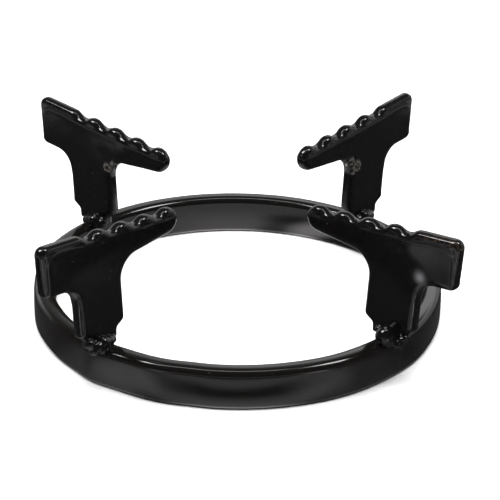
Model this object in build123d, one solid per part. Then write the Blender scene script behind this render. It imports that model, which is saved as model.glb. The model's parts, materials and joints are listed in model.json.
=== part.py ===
"""Wok ring: a steel bar rolled on edge into a hoop, with four plate fingers welded on top of it.

The hoop stands on the hob round a burner, and the fingers hold the wok's round bottom between their tips.
Millimetres, +Z up. The origin is on the hoop's axis, in the plane that the hoop stands on. -Y is the front.
"""
from build123d import *
import os
from math import cos, radians, sin, sqrt, tan

# Hoop: a flat bar, rolled on edge
hoop_outer_radius = 83.0
bar_thickness = 8.0
bar_height = 16.0
hoop_edge_radius = 1.8

# Joint of the bar's two ends: the rolls leave them straight, so they meet at a blunt corner
joint_azimuth = 228.5
straight_end_angle = 10.5
joint_corner_radius = 5.0

# Fingers: four alike, cut from plate and set radially on the hoop by hand, so not quite evenly
plate_thickness = 5.0
plate_edge_radius = 2.0
front_left_azimuth = 229.3
front_right_azimuth = 318.4
rear_right_azimuth = 47.4
rear_left_azimuth = 139.9

# Foot and stem of a finger, centred on the bar
foot_width = 15.3
foot_height = 4.0
foot_corner_radius = 1.0
shoulder_height = 2.4
shoulder_radius = 1.6
stem_width = 23.2
stem_lean = 3.9

# Arm of a finger, from the bar's middle inwards: its nose is round, and its top and underside taper together
arm_length = 41.4
arm_rise = 43.2
tip_radius = 5.0
top_slope = 5.3
underside_slope = 4.4
crotch_radius = 8.5

# Slab of a finger, from the bar's middle outwards
slab_length = 30.7
slab_end_length = 20.4
slab_end_lean = 4.4
slab_corner_radius = 3.0
armpit_radius = 8.4

# Grip bumps along the arm's top, with a notch between each two
notch_count = 4
bump_pitch = 12.25
bump_radius = 5.5
notch_depth = 1.9

# Fillet welds on both sides of each foot: a row of lumps, kept off the bar's two faces
bead_radii = (2.8, 2.3, 2.6)
bead_margin = 0.3

# The bar's middle carries each foot
hoop_inner_radius = hoop_outer_radius - bar_thickness
hoop_middle_radius = hoop_outer_radius - bar_thickness / 2

# A fillet takes at most this share of the straight wall beside it
fillet_share = 0.95

# Each notch is an arc that runs smoothly into the bumps on both its sides
half_pitch = bump_pitch / 2
notch_radius = (half_pitch ** 2 + notch_depth ** 2) / (2 * notch_depth) - bump_radius
notch_centre_height = notch_radius - notch_depth
tip_to_notch = sqrt((tip_radius + notch_radius) ** 2 - (tip_radius + notch_centre_height) ** 2)


def direction(angle):
    """Unit vector at an angle in degrees from the first axis."""
    return Vector(cos(radians(angle)), sin(radians(angle)))


# The top line touches the tip's arc, and runs over the bumps and along the slab
top_direction = direction(top_slope)
top_normal = direction(top_slope + 90)
tip_centre = Vector(hoop_middle_radius - arm_length + tip_radius, bar_height + arm_rise - tip_radius)
tip_top = tip_centre + top_normal * tip_radius


def on_top(along, above):
    """A point of a finger's side view, by its distance along the top line from the tip and above the line."""
    return tip_top + top_direction * along + top_normal * above


def hoop_plan(radius, corner_radius):
    """The hoop's outline seen from above at one radius: an arc, two straight ends and a blunt corner."""
    corner = direction(joint_azimuth) * (radius / cos(radians(straight_end_angle)))
    first = direction(joint_azimuth + straight_end_angle) * radius
    middle = direction(joint_azimuth + 180) * radius
    last = direction(joint_azimuth - straight_end_angle) * radius
    outline = [ThreePointArc(first, middle, last), Line(last, corner), Line(corner, first)]
    plan = make_face(Wire(outline).edges())
    return fillet(plan.vertices().sort_by_distance(corner)[0], corner_radius)


def make_hoop():
    """The bar, bent round and butt welded, with its long edges rounded."""
    outer = hoop_plan(hoop_outer_radius, joint_corner_radius + bar_thickness)
    inner = hoop_plan(hoop_inner_radius, joint_corner_radius)
    bar = extrude(outer - inner, bar_height)
    rims = bar.faces().filter_by(Axis.Z).edges()
    edge_fit = min(hoop_edge_radius, fillet_share * bar_thickness / 2)
    return fillet(rims, edge_fit)


def towards(start, end, distance):
    """The point at a distance from one point on the way to another."""
    return start + (end - start).normalized() * distance


def bumpy_top():
    """Arcs from the end of the tip's arc through each notch and over each bump, up to the slab's top."""
    arcs = []
    bump_centre = tip_centre
    radius_before = tip_radius
    for notch in range(notch_count):
        notch_place = tip_to_notch + notch * bump_pitch
        notch_centre = on_top(notch_place, notch_centre_height)
        next_centre = on_top(notch_place + half_pitch, -bump_radius)
        entry = towards(bump_centre, notch_centre, radius_before)
        leave = towards(next_centre, notch_centre, bump_radius)
        if arcs:
            bump_top = on_top(notch_place - half_pitch, 0)
            arcs.append(ThreePointArc(arcs[-1] @ 1, bump_top, entry))
        arcs.append(ThreePointArc(entry, on_top(notch_place, -notch_depth), leave))
        bump_centre = next_centre
        radius_before = bump_radius
    slab_start = on_top(tip_to_notch + (notch_count - 0.5) * bump_pitch, 0)
    arcs.append(TangentArc(arcs[-1] @ 1, slab_start, tangent=arcs[-1] % 1))
    return arcs


def crossing(point, angle, other_point, other_angle):
    """Where two straight lines cross, each given by a point and an angle in degrees."""
    ahead = direction(angle)
    other_ahead = direction(other_angle)
    gap = other_point - point
    distance = gap.cross(other_ahead).Z / ahead.cross(other_ahead).Z
    return point + ahead * distance


def fitting_radius(radius, corner, before, after, radius_before, radius_after):
    """A corner's radius, or less where the straight walls on its two sides leave too little room for it."""
    turn = (corner - before).get_angle(after - corner)
    reach_per_radius = tan(radians(turn / 2))
    room = min((corner - before).length - radius_before, (after - corner).length - radius_after)
    return min(radius, fillet_share * room / reach_per_radius)


def finger_side_view():
    """A finger's outline: X is the distance from the hoop's axis and Y is the height above the hob."""
    top = bumpy_top()
    slab_start = top[-1] @ 1
    tip_end = tip_centre + direction(-90 - underside_slope) * tip_radius
    tip_nose = tip_centre - Vector(tip_radius, 0)

    foot_top = bar_height + foot_height
    foot_inside = hoop_middle_radius - foot_width / 2
    foot_outside = hoop_middle_radius + foot_width / 2
    inner_foot = Vector(foot_inside, foot_top)
    outer_foot = Vector(foot_outside, foot_top)
    inner_shoulder = Vector(hoop_middle_radius - stem_width / 2, foot_top + shoulder_height)
    outer_shoulder = Vector(hoop_middle_radius + stem_width / 2, foot_top + shoulder_height)
    crotch = crossing(tip_end, -underside_slope, inner_shoulder, 90 - stem_lean)

    slab_end = hoop_middle_radius + slab_length
    slab_top = slab_start + top_direction * ((slab_end - slab_start.X) / top_direction.X)
    slab_bottom = slab_top + direction(-90 - slab_end_lean) * slab_end_length
    armpit = crossing(slab_bottom, top_slope, outer_shoulder, 90 - stem_lean)

    corners = [
        tip_end,
        crotch,
        inner_shoulder,
        inner_foot,
        Vector(foot_inside, bar_height),
        Vector(foot_outside, bar_height),
        outer_foot,
        outer_shoulder,
        armpit,
        slab_bottom,
        slab_top,
        slab_start,
    ]
    crotch_fit = fitting_radius(crotch_radius, crotch, tip_end, inner_shoulder, 0, shoulder_radius)
    armpit_fit = fitting_radius(
        armpit_radius, armpit, outer_shoulder, slab_bottom, shoulder_radius, slab_corner_radius
    )
    nose = ThreePointArc(top[0] @ 0, tip_nose, tip_end)
    side = make_face(Wire([nose, *Polyline(*corners).edges(), *top]).edges())
    rounded = [
        (crotch, crotch_fit),
        (inner_shoulder, shoulder_radius),
        (inner_foot, foot_corner_radius),
        (outer_foot, foot_corner_radius),
        (outer_shoulder, shoulder_radius),
        (armpit, armpit_fit),
        (slab_bottom, slab_corner_radius),
        (slab_top, slab_corner_radius),
    ]
    for corner, radius in rounded:
        side = fillet(side.vertices().sort_by_distance(corner)[0], radius)
    return side


def make_finger():
    """A finger over the X axis, cut from plate, with all its edges rounded but those of the foot's seat."""
    plate = extrude(Plane.XZ * finger_side_view(), plate_thickness / 2, both=True)
    rims = plate.faces().filter_by(Axis.Y).edges()
    edge_fit = min(plate_edge_radius, fillet_share * plate_thickness / 2)
    return fillet(rims.filter_by(lambda rim: rim.center().Z > bar_height), edge_fit)


def make_bead(side):
    """Lumps of weld in the corner between the foot's face and the bar's top, in a row across the bar."""
    first_place = hoop_inner_radius + bead_margin + bead_radii[0]
    last_place = hoop_outer_radius - bead_margin - bead_radii[-1]
    step = (last_place - first_place) / (len(bead_radii) - 1)
    face_place = side * plate_thickness / 2
    lumps = [
        Pos(first_place + number * step, face_place, bar_height) * Sphere(radius)
        for number, radius in enumerate(bead_radii)
    ]
    foot_face = Plane(origin=(0, face_place, 0), z_dir=(0, side, 0))
    return split(lumps[0].fuse(*lumps[1:]), bisect_by=foot_face, keep=Keep.TOP)


def save(shape, node):
    """Writes one piece to a file of its own, named after the piece."""
    shape.label = node
    export_step(shape, f"parts/{node}.step")
    print(node, round(shape.volume, 1), "mm3")


os.makedirs("parts", exist_ok=True)
hoop = make_hoop()
save(hoop, "hoop")
finger = make_finger()
finger_azimuths = {
    "front_left": front_left_azimuth,
    "front_right": front_right_azimuth,
    "rear_right": rear_right_azimuth,
    "rear_left": rear_left_azimuth,
}
for place, azimuth in finger_azimuths.items():
    turn = Rot(0, 0, azimuth)
    seated_finger = turn * finger
    save(seated_finger, f"{place}_finger")
    for side_name, side in (("left", -1), ("right", 1)):
        bead = turn * make_bead(side) - seated_finger - hoop
        save(bead, f"{place}_weld_{side_name}")
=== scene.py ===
# %% [markdown]
# A wok ring in black enamel.
# The ring stands on a gas hob round a burner, and its four notched fingers hold a round-bottomed wok.
# The CAD model gives every size and place. This file gives the ring its hand-made looks: a bar that the
# rolls left a little out of round, lumpy welds, and the glassy enamel that was poured over all of it.

import json
from math import atan2, cos, degrees, exp, pi, radians, sin, sqrt, tau

import bmesh
import bpy
import numpy as np
from mathutils import Matrix, Vector, noise


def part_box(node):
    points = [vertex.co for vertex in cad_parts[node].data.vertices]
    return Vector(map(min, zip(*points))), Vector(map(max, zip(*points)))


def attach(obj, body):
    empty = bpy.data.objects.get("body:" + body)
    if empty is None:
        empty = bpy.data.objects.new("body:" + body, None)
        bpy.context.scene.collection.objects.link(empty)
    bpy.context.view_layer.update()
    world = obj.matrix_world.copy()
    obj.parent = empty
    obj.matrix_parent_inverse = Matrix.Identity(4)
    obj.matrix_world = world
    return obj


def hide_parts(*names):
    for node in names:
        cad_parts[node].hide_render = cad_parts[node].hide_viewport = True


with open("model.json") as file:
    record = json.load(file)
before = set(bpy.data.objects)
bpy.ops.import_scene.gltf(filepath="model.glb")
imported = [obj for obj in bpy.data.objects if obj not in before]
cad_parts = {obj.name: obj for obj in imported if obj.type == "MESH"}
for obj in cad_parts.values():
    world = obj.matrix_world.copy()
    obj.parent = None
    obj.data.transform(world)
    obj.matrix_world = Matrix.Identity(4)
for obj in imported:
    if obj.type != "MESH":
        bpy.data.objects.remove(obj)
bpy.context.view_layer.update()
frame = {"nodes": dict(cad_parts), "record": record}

# %% [markdown]
# Blender works in metres and the shop that made this ring works in millimetres, so one value turns one
# into the other. The bar's size, its blunt joint and each finger's direction are all read from the CAD
# meshes, so a new CAD size carries through to here. Only what the maker's hand left on the ring, such as
# dents, weld lumps and marks, is listed further down.

# %% Read the ring's sizes from the frame
mm = 0.001
# Only the blunt corner at the joint stands further out from the true circle than this
past_round = 0.5 * mm


def node_points(node):
    """The corners of a CAD node's mesh."""
    return [vertex.co.copy() for vertex in frame["nodes"][node].data.vertices]


def azimuth_of(points):
    """Direction from the hoop's axis to the middle of some points, in degrees."""
    middle = sum(points, Vector()) / len(points)
    return degrees(atan2(middle.y, middle.x)) % 360


hoop_low, hoop_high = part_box("hoop")
bore = next(mount for mount in frame["record"]["mounts"] if mount["name"] == "burner_bore")
bar_height = hoop_high.z - hoop_low.z
hoop_outer_radius = hoop_high.x
hoop_inner_radius = bore["dims"]["r_mm"] * mm
hoop_middle_radius = (hoop_outer_radius + hoop_inner_radius) / 2
bar_thickness = hoop_outer_radius - hoop_inner_radius
corner = [point for point in node_points("hoop") if point.xy.length > hoop_outer_radius + past_round]
joint_azimuth = azimuth_of(corner)
places = ("front_left", "front_right", "rear_right", "rear_left")
finger_azimuths = {place: azimuth_of(node_points(f"{place}_finger")) for place in places}
print("bar", round(bar_thickness / mm, 2), "x", round(bar_height / mm, 2), "mm")
print("joint at", round(joint_azimuth, 2), "fingers at", {p: round(a, 2) for p, a in finger_azimuths.items()})

# %% [markdown]
# The hoop is a flat steel bar, rolled on edge and butt welded at the front left.
# It could be a torus with a squared section, but then its edges and its wall would be hard to set apart.
# Here one section of the bar is drawn as a single square face, sized to the bar, with its corners beveled
# to the soft radius that enamel gives them. The same section later makes the short stub of bar that each
# finger's weld flows over.

# %% Draw a section of the bar
edge_radius = 2.3 * mm
edge_steps = 6
face_cuts = 9


def bar_section(bm, inset):
    """One upright section of the bar over the X axis, drawn in by a small inset, as a face."""
    bmesh.ops.create_grid(bm, x_segments=1, y_segments=1, size=0.5)
    bmesh.ops.scale(bm, verts=bm.verts, vec=(bar_thickness - 2 * inset, bar_height - 2 * inset, 1))
    bmesh.ops.bevel(
        bm, geom=bm.verts[:], offset=edge_radius, segments=edge_steps, profile=0.5,
        affect="VERTICES", material=-1,
    )
    flats = [edge for edge in bm.edges if edge.calc_length() > edge_radius]
    bmesh.ops.subdivide_edges(bm, edges=flats, cuts=face_cuts)
    stand_up = Matrix.Rotation(pi / 2, 3, "X")
    bmesh.ops.rotate(bm, verts=bm.verts, matrix=stand_up)
    bmesh.ops.translate(bm, verts=bm.verts, vec=(hoop_middle_radius, 0, bar_height / 2))


# %% [markdown]
# Rolls can't bend a bar's last few centimetres, so its two straight ends meet at a blunt corner. The rest
# isn't a true circle either: the photograph shows the left side pulled in by about a millimetre.
# A spin alone would give a perfect ring, so every point of it is then moved in or out by its direction.
# The faces also crown a little where the rolls squeezed the bar, and the top where the glass heaped up on
# it. A crown bends the reflections in a face, which is how the eye tells it from a flat one.

# %% Bend a true ring into the hand-rolled one
straight_end_angle = 10.5
corner_softness = 1.3
# Direction and width in degrees, and how far out the bar stands there, in millimetres
dents = ((182, 13, -1.15), (204, 8, -0.35), (248, 7, 0.35), (258, 4, -0.3), (297, 9, 0.35), (327, 8, 0.35))
face_crown = 0.22 * mm
top_crown = 0.35 * mm
# This share of a crown stands proud of the flat bar, and the rest is sunk below it
crown_proud = 0.5
roll_wave = 0.10 * mm
wave_length = 26 * mm
# The seam's groove is a fraction of a degree wide
seam_depth = 0.12 * mm
seam_width = 0.8


def turn_between(first, second):
    """The signed turn from the second direction to the first, in degrees, from -180 to 180."""
    return (first - second + 180) % 360 - 180


def bend_like_the_bar(points):
    """Moves points of a true ring to where the hand-rolled bar has them."""
    for vertex in points:
        azimuth = degrees(atan2(vertex.co.y, vertex.co.x))
        outward = Vector((cos(radians(azimuth)), sin(radians(azimuth)), 0))
        from_joint = sqrt(turn_between(azimuth, joint_azimuth) ** 2 + corner_softness ** 2)
        if from_joint < straight_end_angle:
            vertex.co.xy /= cos(radians(straight_end_angle - from_joint))
        offset = sum(
            depth * exp(-(turn_between(azimuth, centre) / width) ** 2) for centre, width, depth in dents
        ) * mm
        across = (vertex.co.xy.length - hoop_middle_radius) / (bar_thickness / 2)
        up_the_face = (vertex.co.z - bar_height / 2) / (bar_height / 2)
        offset += face_crown * across * (crown_proud - up_the_face ** 2)
        offset -= seam_depth * across * exp(-(turn_between(azimuth, joint_azimuth) / seam_width) ** 2)
        offset += roll_wave * noise.noise(vertex.co / wave_length)
        vertex.co += outward * offset
        if up_the_face > 0:
            vertex.co.z += top_crown * (crown_proud - across ** 2) * up_the_face ** 3


# %% [markdown]
# The section's face is deleted and its outline spun right round the axis. The spin's last copy lands on
# the first, so merging closes the seam. A spin can come out inside out, so its normals are worked out
# again. One level of subdivision finishes the curves.

# %% Spin the hoop
hoop_steps = 360
spin_merge = 0.01 * mm
scene_collection = bpy.context.scene.collection


def finish_mesh(bm, name):
    """Turns a bmesh into a smooth-shaded mesh."""
    mesh = bpy.data.meshes.new(name)
    bm.to_mesh(mesh)
    bm.free()
    mesh.shade_smooth()
    return mesh


def add_piece(name, mesh, nodes):
    """Puts a finished mesh in the scene as a piece that stands for some CAD nodes."""
    piece = bpy.data.objects.new(name, mesh)
    scene_collection.objects.link(piece)
    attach(piece, "root")
    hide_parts(*nodes)
    print(name, len(mesh.polygons), "faces")
    return piece


bm = bmesh.new()
bar_section(bm, 0)
bmesh.ops.delete(bm, geom=bm.faces[:], context="FACES_ONLY")
bmesh.ops.spin(
    bm, geom=bm.verts[:] + bm.edges[:], cent=(0, 0, 0), axis=(0, 0, 1), angle=tau,
    steps=hoop_steps, use_merge=True,
)
bmesh.ops.remove_doubles(bm, verts=bm.verts, dist=spin_merge)
bend_like_the_bar(bm.verts)
bmesh.ops.recalc_face_normals(bm, faces=bm.faces)
hoop = add_piece("enamelled_hoop", finish_mesh(bm, "enamelled_hoop"), ["hoop"])
rounder = hoop.modifiers.new("rounder", "SUBSURF")
rounder.levels = rounder.render_levels = 1

# %% [markdown]
# Each finger was cut from plate and welded to the bar's top by hand, one bead on each side of its foot.
# No two welds are alike, so each lump is listed by its place in the finger's own directions: how far from
# the axis, how far to the side, and how high. The front right weld ends in a ball as big as a pea, and the
# rear fingers carry the rough rings that the furnace hooks left in the crook under the arm, whose pale grey
# is partly painted highlight. Blisters, a patch of painted highlight and burnt glass are listed in the same
# way.

# %% List the weld lumps and hook marks
# Each lump is (from the axis, to the side, height, radius) in millimetres, for a finger that points along X
plain_bead = ((76.6, 16.2, 2.0), (78.6, 16.3, 2.6), (80.5, 16.2, 2.3), (82.0, 16.0, 1.8))
weld_lumps = {
    "front_left": (
        [(at, -2.6, high, size) for at, high, size in plain_bead]
        + [(75.2, 2.8, 16.6, 1.6), (78.0, 3.6, 17.0, 2.2), (81.2, 4.2, 17.8, 2.7), (84.0, 4.4, 17.2, 2.2),
           (85.8, 4.0, 16.4, 2.0), (87.2, 3.2, 19.2, 1.9), (82.6, 5.4, 15.8, 1.5)]
    ),
    "front_right": (
        [(at, 2.6, high, size) for at, high, size in plain_bead]
        + [(81.0, -5.4, 18.7, 4.1), (77.0, -3.4, 16.6, 1.8), (75.6, -2.8, 18.6, 1.5), (85.2, -4.8, 16.4, 1.6),
           (87.2, -4.4, 16.2, 1.3), (86.6, -3.0, 18.0, 1.5), (88.6, -2.6, 19.6, 1.3)]
    ),
    "rear_right": (
        [(at, 2.6, high, size) for at, high, size in plain_bead]
        + [(73.8, -2.8, 16.8, 1.8), (77.0, -3.8, 17.8, 2.5), (80.2, -3.0, 16.6, 2.2), (82.4, -2.6, 16.2, 1.7)]
    ),
    "rear_left": (
        [(at, -2.6, high, size) for at, high, size in plain_bead]
        + [(72.8, 3.0, 17.4, 2.0), (76.0, 4.2, 18.0, 2.9), (79.6, 3.2, 16.8, 2.2), (82.2, 2.8, 16.2, 1.7)]
    ),
}


def ring_mark(at, side, high, ring_radius, crumb_radius, crumbs):
    """The rough ring that a furnace hook leaves on a plate's face, as crumbs of glass round a centre."""
    turns = [tau * crumb / crumbs for crumb in range(crumbs)]
    return [
        (at + ring_radius * cos(turn), side, high + ring_radius * sin(turn), crumb_radius) for turn in turns
    ]


hook_marks = {
    "rear_left": ring_mark(69.3, 2.4, 44.0, 1.4, 0.55, 7) + ring_mark(65.8, 2.3, 46.3, 1.0, 0.55, 5),
    "rear_right": (
        ring_mark(71.4, -2.4, 42.5, 1.9, 0.55, 8) + ring_mark(67.6, -2.3, 45.6, 1.3, 0.5, 6)
        + [(64.4, -2.4, 47.0, 0.6), (63.0, -2.4, 47.5, 0.5), (69.6, -2.4, 39.8, 0.6), (71.6, -2.4, 42.8, 0.5)]
    ),
}
# Low blisters in the glass of a face: (from the axis, to the side, height, radius, depth) in millimetres
blisters = {"rear_left": [(60, 2.5, 53, 7, 0.3)]}
# A painted highlight, a pale patch in the glass colour: (from the axis, to the side, height, radius) in
# millimetres
painted_highlight_places = {"front_right": [(93.0, -2.5, 46.4, 2.1)]}
# Where a finger's thin glass fired brown: (from the axis, to the side, height, radius)
burnt_places = {"front_right": [(98, 0, 63, 5), (106.5, -1, 63, 2.5)]}
print("lumps:", sum(len(lumps) for lumps in [*weld_lumps.values(), *hook_marks.values()]))

# %% [markdown]
# Molten glass runs over plate, weld and bar as one skin, and pools where they meet.
# Booleans would join them with sharp creases. A voxel remesh wraps one closed skin round all of them
# instead, and smoothing then draws the creases out into the soft fillets that enamel makes.
# The plate is turned square to the voxels first, or its flat faces would come out stepped.

# %% Wrap a finger, its welds and a stub of bar in one skin
voxel = 0.36 * mm
cad_merge = 0.001 * mm
stub_angle = 13.0
stub_steps = 14
stub_sink = 0.5 * mm
lump_subdivisions = 3
smoothing_rounds = 7
smoothing_share = 0.5


def add_stub(bm, azimuth):
    """A short length of bar under the foot, sunk just below the hoop's own skin."""
    stub = bmesh.new()
    bar_section(stub, stub_sink)
    start = Matrix.Rotation(radians(azimuth - stub_angle / 2), 3, "Z")
    bmesh.ops.rotate(stub, verts=stub.verts, matrix=start)
    bmesh.ops.spin(
        stub, geom=stub.faces[:] + stub.edges[:] + stub.verts[:], cent=(0, 0, 0), axis=(0, 0, 1),
        angle=radians(stub_angle), steps=stub_steps, use_merge=False,
    )
    bmesh.ops.recalc_face_normals(stub, faces=stub.faces)
    bend_like_the_bar(stub.verts)
    bmesh.ops.rotate(stub, verts=stub.verts, matrix=Matrix.Rotation(radians(-azimuth), 3, "Z"))
    mesh = bpy.data.meshes.new("stub")
    stub.to_mesh(mesh)
    stub.free()
    bm.from_mesh(mesh)
    bpy.data.meshes.remove(mesh)


def add_lump(bm, place, radius):
    """A round lump of weld or glass, place and radius in millimetres."""
    bmesh.ops.create_icosphere(
        bm, subdivisions=lump_subdivisions, radius=radius * mm, matrix=Matrix.Translation(Vector(place) * mm)
    )


def wrap_in_glass(bm, name):
    """One closed skin round everything in the bmesh, from a voxel remesh."""
    rough = finish_mesh(bm, name)
    holder = bpy.data.objects.new(name, rough)
    scene_collection.objects.link(holder)
    skin = holder.modifiers.new("skin", "REMESH")
    skin.mode = "VOXEL"
    skin.voxel_size = voxel
    depsgraph = bpy.context.evaluated_depsgraph_get()
    wrapped = bpy.data.meshes.new_from_object(holder.evaluated_get(depsgraph))
    bpy.data.objects.remove(holder)
    bpy.data.meshes.remove(rough)
    return wrapped


def wrapped_finger(place):
    """A finger with its welds, square to the axes, as one smoothed skin."""
    azimuth = finger_azimuths[place]
    bm = bmesh.new()
    bm.from_mesh(frame["nodes"][f"{place}_finger"].data)
    bmesh.ops.remove_doubles(bm, verts=bm.verts, dist=cad_merge)
    bmesh.ops.rotate(bm, verts=bm.verts, matrix=Matrix.Rotation(radians(-azimuth), 3, "Z"))
    add_stub(bm, azimuth)
    for at, side, high, radius in weld_lumps[place]:
        add_lump(bm, (at, side, high), radius)
    wrapped = wrap_in_glass(bm, f"{place}_skin")
    smooth = bmesh.new()
    smooth.from_mesh(wrapped)
    bpy.data.meshes.remove(wrapped)
    for _ in range(smoothing_rounds):
        bmesh.ops.smooth_vert(
            smooth, verts=smooth.verts, factor=smoothing_share, use_axis_x=True, use_axis_y=True,
            use_axis_z=True,
        )
    return smooth


skins = {place: wrapped_finger(place) for place in places}
print({place: len(skin.verts) for place, skin in skins.items()})

# %% [markdown]
# Surface tension pulls wet enamel back from a finger's top edges, where it fires thin, and heaps it into a
# low bank on the faces below them. The bank is fainter beside the slab's end, and from it inwards the glass
# stays nearly as thick. So the skin needs to know where its edges are. Each point is set against the middle
# of its neighbours: on an outside edge it stands proud of them. That value, spread over the surface like
# heat, falls with the distance from the edge. It places the bank, whose wavy line of light follows the
# notches. Attributes keep, for the material, where the glass is thin or crumbed and where highlight is
# painted.

# %% Bank the glass up below the top edges
# How far a point stands proud where an edge begins, and how much further where it is sharp, in voxels
edge_begins = 0.012
edge_ramp = 0.02
# Rounds of averaging that find an edge, and that carry it over the face
edge_spread = 10
bank_spread = 160
# The carried value at the bank's crest, and how much it changes across the bank
bank_place = 0.14
bank_width = 0.08
bank_depth = 0.2 * mm
# The share of the bank's depth that the glass keeps further in
bank_inside = 0.75
# How much an edge that faces outwards counts beside one that faces up, and what counts in full
end_share = 0.5
full_bank = 0.5
crumb_height = 0.9 * mm
glass_depth = 0.12 * mm
ripple_depth = 0.05 * mm
ripple_length = 7 * mm


def neighbour_mean(values, pairs):
    """The mean of each point's neighbours, for one value at each point."""
    first, second = pairs
    return np.bincount(first, weights=values[second]) / np.bincount(first)


def spread(values, pairs, rounds):
    """Values at points, averaged with their neighbours' a number of times."""
    for _ in range(rounds):
        values = (values + neighbour_mean(values, pairs)) / 2
    return values


def read_vectors(items, field):
    """A vector field of mesh items as rows of an array."""
    flat = np.empty(len(items) * 3)
    items.foreach_get(field, flat)
    return flat.reshape(-1, 3)


def closeness(points, places):
    """How close points are to the nearest of some places, each with a radius: from 1 there to 0 far off."""
    close = np.zeros(len(points))
    for at, side, high, radius in places:
        away = np.linalg.norm(points - np.array((at, side, high)) * mm, axis=1) / (radius * mm)
        close = np.maximum(close, np.exp(-(away ** 2)))
    return close


def keep_values(mesh, name, values):
    """Keeps a value at each point as a named attribute, for the material to read."""
    kept = mesh.attributes.new(name, "FLOAT", "POINT")
    kept.data.foreach_set("value", values.astype(np.float32))


def pour_enamel(mesh, place):
    """Lays glass on the skin, banked below its top edges, and keeps where it is thin or crumbed, or painted
    light.
    """
    ends = np.empty(len(mesh.edges) * 2, dtype=int)
    mesh.edges.foreach_get("vertices", ends)
    pairs = (np.concatenate((ends[0::2], ends[1::2])), np.concatenate((ends[1::2], ends[0::2])))
    points = read_vectors(mesh.vertices, "co")
    normals = read_vectors(mesh.vertices, "normal")
    middles = np.stack([neighbour_mean(points[:, axis], pairs) for axis in range(3)], axis=1)
    proud = ((points - middles) * normals).sum(axis=1) / voxel
    on_edge = np.clip((spread(proud, pairs, edge_spread) - edge_begins) / edge_ramp, 0, 1)
    banked = np.clip(normals[:, 2] + end_share * normals[:, 0], 0, full_bank) / full_bank
    from_edge = spread(on_edge * banked, pairs, bank_spread)
    bank = np.exp(-(((from_edge - bank_place) / bank_width) ** 2))
    bank = np.where(from_edge < bank_place, bank_inside + (1 - bank_inside) * bank, bank)
    ripple = np.array([noise.noise(Vector(point) / ripple_length) for point in points])
    depth = glass_depth + bank_depth * bank + ripple_depth * ripple
    for at, side, high, radius, height in blisters.get(place, []):
        depth += height * mm * closeness(points, [(at, side, high, radius)])
    keep_values(mesh, "thin_glass", on_edge * closeness(points, burnt_places.get(place, [])))
    crumbs = closeness(points, hook_marks.get(place, []))
    depth += crumb_height * crumbs
    keep_values(mesh, "hook_mark", crumbs)
    keep_values(mesh, "painted_highlight_patch", closeness(points, painted_highlight_places.get(place, [])))
    points += normals * depth[:, None]
    mesh.vertices.foreach_set("co", points.ravel())


fingers = {}
for place, skin in skins.items():
    mesh = finish_mesh(skin, f"{place}_enamelled_finger")
    pour_enamel(mesh, place)
    mesh.transform(Matrix.Rotation(radians(finger_azimuths[place]), 4, "Z"))
    nodes = [f"{place}_finger", f"{place}_weld_left", f"{place}_weld_right"]
    fingers[place] = add_piece(f"{place}_enamelled_finger", mesh, nodes)

# %% [markdown]
# Vitreous enamel is glass fired onto steel at about 830 degrees, so it is a smooth dielectric: no metal
# shows, its reflections are those of glass, and its colour is deep in it. The black glass here hides the
# steel everywhere but at the front right slab's top edge, where it is thin and the iron stains it brown.
# A Principled shader on its own gives a flat plastic black. What makes it enamel is the faint orange peel
# that the poured slip leaves, specks of furnace dust, the rings of burst bubbles, and roughness that
# wanders.

# %% Helpers for materials
def srgb(hex_colour):
    """A colour written as sRGB hex, turned to the linear values that shaders use."""
    channels = [int(hex_colour[start:start + 2], 16) / 255 for start in (1, 3, 5)]
    linear = [c / 12.92 if c <= 0.04045 else ((c + 0.055) / 1.055) ** 2.4 for c in channels]
    return (*linear, 1.0)


def add_node(tree, kind, settings=None, **links):
    """Adds a node, sets its properties and values, and links inputs, whose names take underscores here."""
    node = tree.nodes.new(kind)
    for key, value in (settings or {}).items():
        if hasattr(node, key) and key not in node.inputs:
            setattr(node, key, value)
        else:
            node.inputs[key].default_value = value
    for key, source in links.items():
        tree.links.new(source, node.inputs[key.replace("_", " ")])
    return node


def add_math(tree, operation, first, second=0.0):
    """Adds a Math node on two values, each a number or another node's output, and returns its result."""
    node = tree.nodes.new("ShaderNodeMath")
    node.operation = operation
    for socket, value in zip(node.inputs, (first, second)):
        if isinstance(value, bpy.types.NodeSocket):
            tree.links.new(value, socket)
        else:
            socket.default_value = value
    return node.outputs["Value"]


def add_mix(tree, amount, first, second):
    """Adds a Mix node on two colours, each a colour or another node's output, and returns its result."""
    node = tree.nodes.new("ShaderNodeMix")
    node.data_type = "RGBA"
    tree.links.new(amount, node.inputs["Factor"])
    for socket, value in zip((node.inputs[6], node.inputs[7]), (first, second)):
        if isinstance(value, bpy.types.NodeSocket):
            tree.links.new(value, socket)
        else:
            socket.default_value = value
    return node.outputs[2]


def add_ramp(tree, value, stops, last=1.0):
    """Adds a Color Ramp that turns a value into greys, given as (place, grey), and returns its colour."""
    ramp = add_node(tree, "ShaderNodeValToRGB", Fac=value)
    elements = ramp.color_ramp.elements
    for number, (place, grey) in enumerate(stops):
        element = elements[number] if number < 2 else elements.new(place / last)
        element.position = place / last
        element.color = (grey, grey, grey, 1)
    return ramp.outputs["Color"]


def per_mm(size):
    """A noise's scale in metres for features that are some millimetres across."""
    return 1 / (size * mm)


# %% [markdown]
# All the pieces are the same black glass, but the bar's is a shade browner and duller than the fingers',
# and smoother. One function builds both, and takes what differs between them. Sizes are real ones: orange
# peel ripples are about 3 mm apart, specks of dust a few tenths of a millimetre across.

# %% Make the enamel
glass_ior = 1.5
# Sizes of the patterns, in millimetres
haze_size = 14
scorch_grain = 1.2
speck_spacing = 4.5
peel_size = 3.0
# Where the grain of a scorched edge begins to show and where it is full, of a noise from 0 to 1
scorch_grain_range = (0.5, 0.62)
# How near to a speck's middle it begins to show and is full, as a share of the spacing
speck_range = (0.05, 0.03)
# How much of a spot's own colour shows through the black
scorch_share = 0.4
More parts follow.
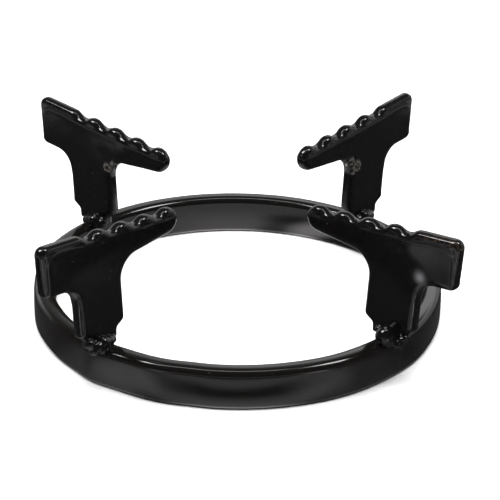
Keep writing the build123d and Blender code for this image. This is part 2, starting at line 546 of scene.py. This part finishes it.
# The crumbs' pale grey is their rough glass and, in part, painted highlight
crumb_grey_and_highlight_share = 0.8
# How strongly the painted highlight patch shows through the black
highlight_paint_share = 0.5
haze_roughness = 0.08
crumb_roughness = 0.12
bump_distance = 0.05 * mm
# A burst bubble leaves a ring this wide, and this much higher than the orange peel
bubble_ring_width = 0.4 * mm
bubble_ring_height = 8.0


def black_enamel(name, deep, shine, base_roughness, peel_strength, bubbles=()):
    """Vitreous enamel on steel, as a material. Burst bubbles are (x, y, z, radius) in millimetres."""
    material = bpy.data.materials.new(name)
    material.use_nodes = True
    tree = material.node_tree
    tree.nodes.clear()
    where = add_node(tree, "ShaderNodeTexCoord").outputs["Object"]
    haze = add_node(tree, "ShaderNodeTexNoise", {"Scale": per_mm(haze_size), "Detail": 3.0}, Vector=where)
    grain = add_node(tree, "ShaderNodeTexNoise", {"Scale": per_mm(scorch_grain), "Detail": 2.0}, Vector=where)
    grain_start, grain_full = scorch_grain_range
    speckled = add_node(
        tree, "ShaderNodeMapRange", {"From Min": grain_start, "From Max": grain_full},
        Value=grain.outputs["Fac"],
    )
    thin = add_node(tree, "ShaderNodeAttribute", {"attribute_name": "thin_glass"}).outputs["Fac"]
    scorched = add_math(tree, "MULTIPLY", thin, speckled.outputs["Result"])
    specks = add_node(
        tree, "ShaderNodeTexVoronoi", {"Scale": per_mm(speck_spacing), "Randomness": 1.0}, Vector=where
    )
    speck_start, speck_full = speck_range
    near_speck = add_node(
        tree, "ShaderNodeMapRange", {"From Min": speck_start, "From Max": speck_full},
        Value=specks.outputs["Distance"],
    )
    crumbed = add_node(tree, "ShaderNodeAttribute", {"attribute_name": "hook_mark"}).outputs["Fac"]
    # Where a highlight is painted into the glass colour
    highlight_paint = add_node(tree, "ShaderNodeAttribute", {"attribute_name": "painted_highlight_patch"}).outputs["Fac"]
    colour = srgb(deep)
    # Scorch and dust specks are the glass's own colours; the crumbs' grey is partly painted highlight, the
    # pale patch all painted highlight
    spots = (
        (add_math(tree, "MULTIPLY", scorched, scorch_share), "#5d4a3c"),
        (near_speck.outputs["Result"], "#4a4742"),
        (add_math(tree, "MULTIPLY", crumbed, crumb_grey_and_highlight_share), "#6a6660"),
        (add_math(tree, "MULTIPLY", highlight_paint, highlight_paint_share), "#8d8b8e"),
    )
    for amount, spot in spots:
        colour = add_mix(tree, amount, colour, srgb(spot))
    hazy = add_node(
        tree, "ShaderNodeMapRange", {"To Min": base_roughness, "To Max": base_roughness + haze_roughness},
        Value=haze.outputs["Fac"],
    )
    crumb_rough = add_math(tree, "MULTIPLY", crumbed, crumb_roughness)
    roughness = add_math(tree, "ADD", hazy.outputs["Result"], crumb_rough)
    peel = add_node(tree, "ShaderNodeTexNoise", {"Scale": per_mm(peel_size), "Detail": 2.0}, Vector=where)
    height = peel.outputs["Fac"]
    for x, y, z, radius in bubbles:
        away = add_node(tree, "ShaderNodeVectorMath", {"operation": "DISTANCE"}, Vector=where)
        away.inputs[1].default_value = (x * mm, y * mm, z * mm)
        off_ring = add_math(tree, "ABSOLUTE", add_math(tree, "SUBTRACT", away.outputs["Value"], radius * mm))
        ring = add_node(
            tree, "ShaderNodeMapRange",
            {"interpolation_type": "SMOOTHSTEP", "From Min": bubble_ring_width, "From Max": 0.0,
             "To Max": bubble_ring_height},
            Value=off_ring,
        )
        height = add_math(tree, "ADD", height, ring.outputs["Result"])
    bump = add_node(
        tree, "ShaderNodeBump", {"Strength": peel_strength, "Distance": bump_distance}, Height=height
    )
    glass = add_node(
        tree, "ShaderNodeBsdfPrincipled", {"IOR": glass_ior, "Specular IOR Level": shine},
        Base_Color=colour, Roughness=roughness, Normal=bump.outputs["Normal"],
    )
    add_node(tree, "ShaderNodeOutputMaterial", Surface=glass.outputs["BSDF"])
    return material


def on_the_wall(azimuth, z, radius):
    """A burst bubble on the hoop's outer face, by its direction and height."""
    outer = hoop_outer_radius / mm
    return (outer * cos(radians(azimuth)), outer * sin(radians(azimuth)), z, radius)


wall_bubbles = [on_the_wall(229.2, 4.5, 0.9), on_the_wall(298.0, 12.0, 0.8)]
# Black glass on the rolled bar, with two burst bubbles in its outer face
hoop_enamel = black_enamel("vitreous_enamel_on_bar", "#0d0c0b", 0.45, 0.10, 0.1, wall_bubbles)
# Black glass on the cut plate and its welds, with more orange peel
finger_enamel = black_enamel("vitreous_enamel_on_plate", "#0c0b0b", 0.45, 0.08, 0.2)
hoop.data.materials.append(hoop_enamel)
for finger in fingers.values():
    finger.data.materials.append(finger_enamel)

# %% [markdown]
# The ring stands on pale matt paper. Black glass shows nothing but what it mirrors, and most of what an
# upright face mirrors is the paper in front of it, so the paper's light and shade draw the faces.
# The photographer's table isn't known. So the paper is plain for the eye, and rays that come off the glass
# see a painted glow on it instead: painted shade near the ring, paler round it, with painted pools of light
# and shade, each worked out from the face in the photograph that mirrors it.

# %% Lay the paper
floor_half_size = 3.0
floor_drop = 0.05 * mm
floor_mesh = bpy.data.meshes.new("floor")
bm = bmesh.new()
bmesh.ops.create_grid(bm, x_segments=1, y_segments=1, size=floor_half_size)
bmesh.ops.translate(bm, verts=bm.verts, vec=(0, 0, -floor_drop))
bm.to_mesh(floor_mesh)
bm.free()
floor = bpy.data.objects.new("floor", floor_mesh)
scene_collection.objects.link(floor)
# The painted glow's level, with painted shade near the middle, by the distance from it in reaches to the side
# or front
shade_reach = (238 * mm, 150 * mm, 1)
reach_shown = 4
paper_levels = ((0.0, 0.07), (0.9, 0.07), (1.1, 0.95), (1.4, 0.25), (4.0, 0.35))
# Painted pools of light and shade on the glow: middle x and y, half sizes in x and y, in millimetres, and
# level
painted_paper_pools = (
    (0, 25, 68, 52, 0.8), (-4, 82, 55, 42, 1.6), (27, 60, 12, 17, 2.8), (14, 73, 10, 12, -0.8),
    (13, 58, 9, 11, -0.8),
    (0, -107, 105, 11, 0.75), (0, -84, 54, 10, 1.0), (-42, -92, 26, 14, 0.35), (66, -122, 12, 24, 4.0),
    (-66, -124, 12, 24, 2.5), (-56, -80, 30, 22, 0.9), (-74, -62, 34, 24, 0.2), (48, -90, 30, 22, 0.55),
    (60, -75, 45, 35, 0.15), (-72, -184, 14, 24, 2.0), (78, -172, 14, 24, 1.0), (-194, 27, 15, 10, 1.0),
    (-176, -94, 36, 24, -0.5),
)
# The share of a pool's radius within which it has its full level
pool_core = 0.2
# Matt photographer's paper, which glows with painted light and shade for rays that come off the glass
paper = bpy.data.materials.new("matt_paper")
paper.use_nodes = True
paper.cycles.emission_sampling = "NONE"
tree = paper.node_tree
tree.nodes.clear()
lit_paper = add_node(
    tree, "ShaderNodeBsdfPrincipled",
    {"Base Color": srgb("#ececec"), "Roughness": 0.9, "Specular IOR Level": 0.0},
)
on_the_floor = add_node(tree, "ShaderNodeTexCoord").outputs["Object"]
scaled = add_node(tree, "ShaderNodeVectorMath", {"operation": "DIVIDE"}, Vector=on_the_floor)
scaled.inputs[1].default_value = shade_reach
sides = add_node(tree, "ShaderNodeVectorMath", {"operation": "ABSOLUTE"}, Vector=scaled.outputs["Vector"])
side = add_node(tree, "ShaderNodeSeparateXYZ", Vector=sides.outputs["Vector"])
from_middle = add_math(tree, "MAXIMUM", side.outputs["X"], side.outputs["Y"])
level = add_ramp(tree, add_math(tree, "DIVIDE", from_middle, reach_shown), paper_levels, reach_shown)
for x, y, half_x, half_y, brighter in painted_paper_pools:
    across_pool = add_node(
        tree, "ShaderNodeMapping",
        {"vector_type": "TEXTURE", "Location": (x * mm, y * mm, 0), "Scale": (half_x * mm, half_y * mm, 1)},
        Vector=on_the_floor,
    )
    away = add_node(
        tree, "ShaderNodeVectorMath", {"operation": "LENGTH"}, Vector=across_pool.outputs["Vector"]
    )
    pool = add_node(
        tree, "ShaderNodeMapRange",
        {"interpolation_type": "SMOOTHSTEP", "From Min": 1.0, "From Max": pool_core, "To Min": 0.0,
         "To Max": brighter},
        Value=away.outputs["Value"],
    )
    level = add_math(tree, "ADD", pool.outputs["Result"], level)
level = add_math(tree, "MAXIMUM", level, 0.0)
# The painted light and shade, as a glow that only rays off the glass see
painted_paper_glow = add_node(tree, "ShaderNodeEmission", {"Color": srgb("#fefafb")}, Strength=level)
in_the_glass = add_node(tree, "ShaderNodeLightPath").outputs["Is Glossy Ray"]
seen_or_mirrored = add_node(tree, "ShaderNodeMixShader", Fac=in_the_glass)
tree.links.new(lit_paper.outputs["BSDF"], seen_or_mirrored.inputs[1])
tree.links.new(painted_paper_glow.outputs["Emission"], seen_or_mirrored.inputs[2])
add_node(tree, "ShaderNodeOutputMaterial", Surface=seen_or_mirrored.outputs["Shader"])
floor_mesh.materials.append(paper)
print("paper:", len(painted_paper_pools), "pools of light and shade")

# %% [markdown]
# The photograph is a shop's packshot. Two softboxes, high on the left and right, draw the bright lines along
# the rounded edges, and a long dim strip overhead joins them at the front. A wide ceiling light fills the
# paper without showing in the glass. The rest of the bright lines come from a lit wall behind the ring,
# which the flat tops mirror: dark up high, brightest a little below that, and dimmer to the left.

# %% Hang the lights and build the room
def add_softbox(name, place, aim, width, height, power):
    """A rectangular light that faces a point. The camera doesn't see it, but the black glass does."""
    light = bpy.data.lights.new(name, "AREA")
    light.shape = "RECTANGLE"
    light.size = width
    light.size_y = height
    light.energy = power
    softbox = bpy.data.objects.new(name, light)
    softbox.location = place
    softbox.rotation_euler = (Vector(aim) - Vector(place)).to_track_quat("-Z", "Y").to_euler()
    softbox.visible_camera = False
    scene_collection.objects.link(softbox)
    return softbox


ring_middle = (0, 0, 30 * mm)
add_softbox("left_softbox", (-0.78, -0.03, 1.1), ring_middle, 0.36, 0.52, 12)
add_softbox("right_softbox", (0.62, -0.04, 1.1), ring_middle, 0.3, 0.37, 6.5)
add_softbox("middle_softbox", (-0.1, 0, 1.25), (-0.1, 0, 0), 0.8, 0.2, 2.5)
ceiling = add_softbox("ceiling", (0, 0, 2.0), ring_middle, 1.6, 1.6, 60)
ceiling.visible_glossy = False

# The room's wall behind the ring, by the sine of the height above the horizon, to the right and to the left
wall_levels = ((0.0, 0.6), (0.17, 0.7), (0.3, 0.7), (0.39, 0.9), (0.46, 1.9), (0.56, 0.05), (1.0, 0.03))
left_levels = ((0.0, 0.6), (0.17, 0.7), (0.28, 1.6), (0.36, 0.8), (0.44, 0.25), (0.56, 0.05), (1.0, 0.03))
# Where the wall begins and is full, by how far a direction points back, and how much further it goes right
wall_begins = 0.1
wall_full = 0.6
wall_turn = 0.3
# Where its left part ends and its right part is full, by how far a direction points right
left_ends = -0.1
right_full = 0.02
dark_room = 0.04
world = bpy.data.worlds.new("dim_room")
world.use_nodes = True
bpy.context.scene.world = world
room = world.node_tree
room.nodes.clear()
outward = add_node(room, "ShaderNodeTexCoord").outputs["Generated"]
towards = add_node(room, "ShaderNodeSeparateXYZ", Vector=outward)
right_share = add_math(room, "MULTIPLY", towards.outputs["X"], wall_turn)
behind = add_node(
    room, "ShaderNodeMapRange",
    {"interpolation_type": "SMOOTHSTEP", "From Min": wall_begins, "From Max": wall_full},
    Value=add_math(room, "ADD", towards.outputs["Y"], right_share),
)
right_part = add_node(
    room, "ShaderNodeMapRange", {"From Min": left_ends, "From Max": right_full}, Value=towards.outputs["X"]
)
lit_wall = add_mix(
    room, right_part.outputs["Result"],
    add_ramp(room, towards.outputs["Z"], left_levels), add_ramp(room, towards.outputs["Z"], wall_levels),
)
wall = add_math(room, "MULTIPLY", lit_wall, behind.outputs["Result"])
walls = add_math(room, "ADD", wall, dark_room)
for_the_eye = add_node(room, "ShaderNodeLightPath").outputs["Is Camera Ray"]
mirrored_room = add_node(room, "ShaderNodeBackground", Color=walls)
pale_room = add_node(room, "ShaderNodeBackground", {"Color": srgb("#e6e6e6")})
either = add_node(room, "ShaderNodeMixShader", Fac=for_the_eye)
room.links.new(mirrored_room.outputs["Background"], either.inputs[1])
room.links.new(pale_room.outputs["Background"], either.inputs[2])
add_node(room, "ShaderNodeOutputWorld", Surface=either.outputs["Shader"])

# %% [markdown]
# The camera stands where the photographer's did, worked out from the ellipses of the hoop's four edges.
# It looks down at 26.6 degrees from about 79 centimetres, and is turned under one degree on its axis. A
# longer lens only crops closer, and doesn't change the perspective.

# %% Place the camera
camera_elevation = radians(26.63)
camera_distance = 787.7 * mm
camera_roll = radians(0.83)
hoop_centre = Vector((0, 0, bar_height / 2))
aim = Vector((5.3, 0, 26.6)) * mm
focal_length = 139
nearest_shown = 50 * mm
eye = hoop_centre + Vector((0, -cos(camera_elevation), sin(camera_elevation))) * camera_distance
lens = bpy.data.cameras.new("packshot_camera")
lens.lens = focal_length
lens.clip_start = nearest_shown
camera = bpy.data.objects.new("packshot_camera", lens)
camera.location = eye
camera.rotation_euler = (aim - eye).to_track_quat("-Z", "Y").to_euler()
camera.rotation_euler.rotate_axis("Z", camera_roll)
scene_collection.objects.link(camera)
bpy.context.scene.camera = camera
bpy.context.scene.view_settings.view_transform = "Standard"
print("camera at, mm:", [round(part / mm, 1) for part in eye])
